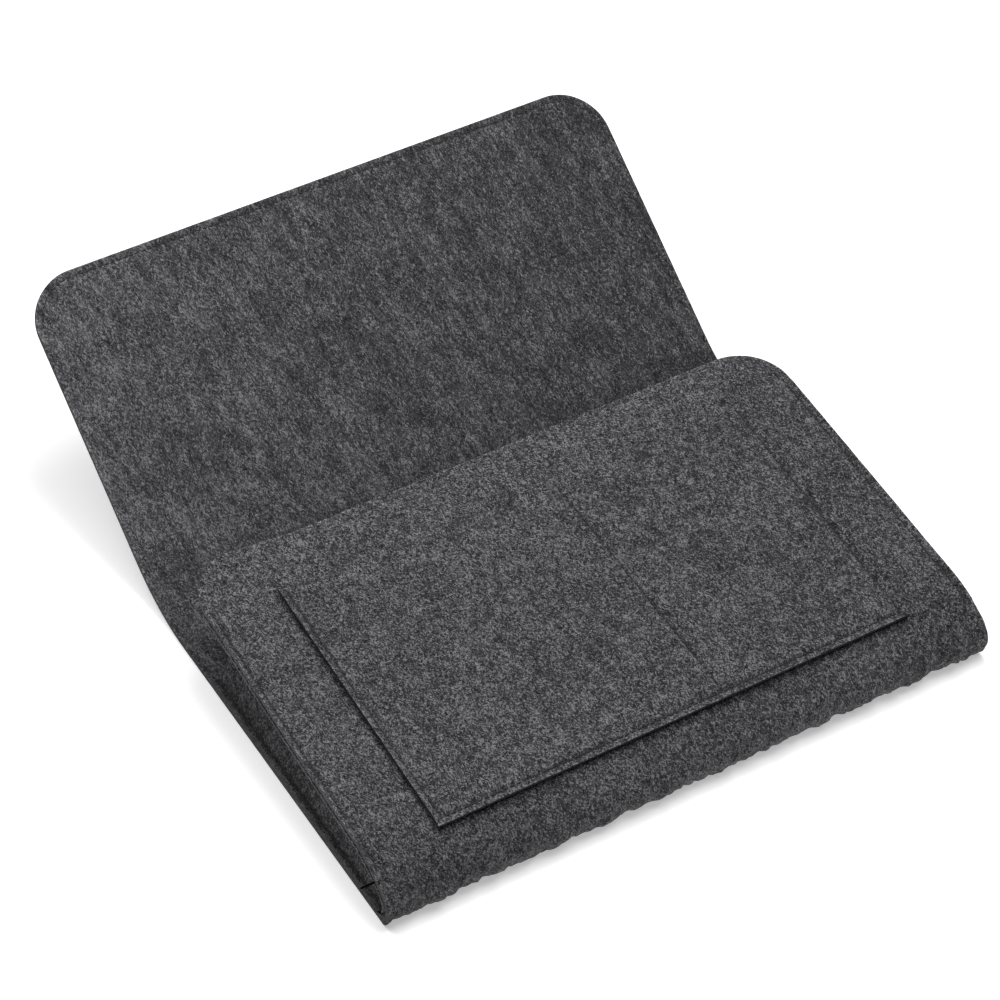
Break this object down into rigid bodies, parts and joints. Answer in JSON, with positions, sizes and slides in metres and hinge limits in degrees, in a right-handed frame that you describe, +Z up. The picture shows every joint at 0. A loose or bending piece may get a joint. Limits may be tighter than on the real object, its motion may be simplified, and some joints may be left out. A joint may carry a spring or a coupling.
{
  "type": "bedside caddy",
  "caption": "Felt bedside caddy with a tuck-in flap, a main pocket with folded side gussets and a divided patch pocket on its front.",
  "frame": {"origin": "centre of the bounding box's bottom face, on the plane that the back panel lies on", "axes": "+Z up from the back panel's under side, +Y from the pocket's bottom fold towards the flap, +X to the right when the front panel is seen with the flap at the top"},
  "size_m": [0.33, 0.3692, 0.1084],
  "materials": {
    "felt": "charcoal heather felt, matt, with short light and dark fibres and raw cut edges",
    "thread": "dark grey sewing thread, dull"
  },
  "bodies": {
    "back": {"back_panel": "felt", "flap_crease": "felt", "left_gusset": "felt", "right_gusset": "felt", "left_rear_seam": "thread", "right_rear_seam": "thread"},
    "flap": {"flap_panel": "felt", "flap_seam": "thread"},
    "front": {"bottom_fold": "felt", "front_panel": "felt", "patch_pocket": "felt", "patch_seam": "thread", "divider_seam": "thread", "left_front_seam": "thread", "right_front_seam": "thread"}
  },
  "joints": [
    {"name": "flap_fold", "type": "hinge", "parent": "back", "child": "flap", "pos_m": [0, 0.04488, 0.0015], "axis": [1, 0, 0], "range_deg": [-127.3, 75], "deforming": ["flap_crease"]},
    {"name": "pocket_open", "type": "hinge", "parent": "back", "child": "front", "pos_m": [0, -0.17246, 0.0015], "axis": [1, 0, 0], "range_deg": [-8, 5], "deforming": ["left_gusset", "right_gusset"]}
  ]
}
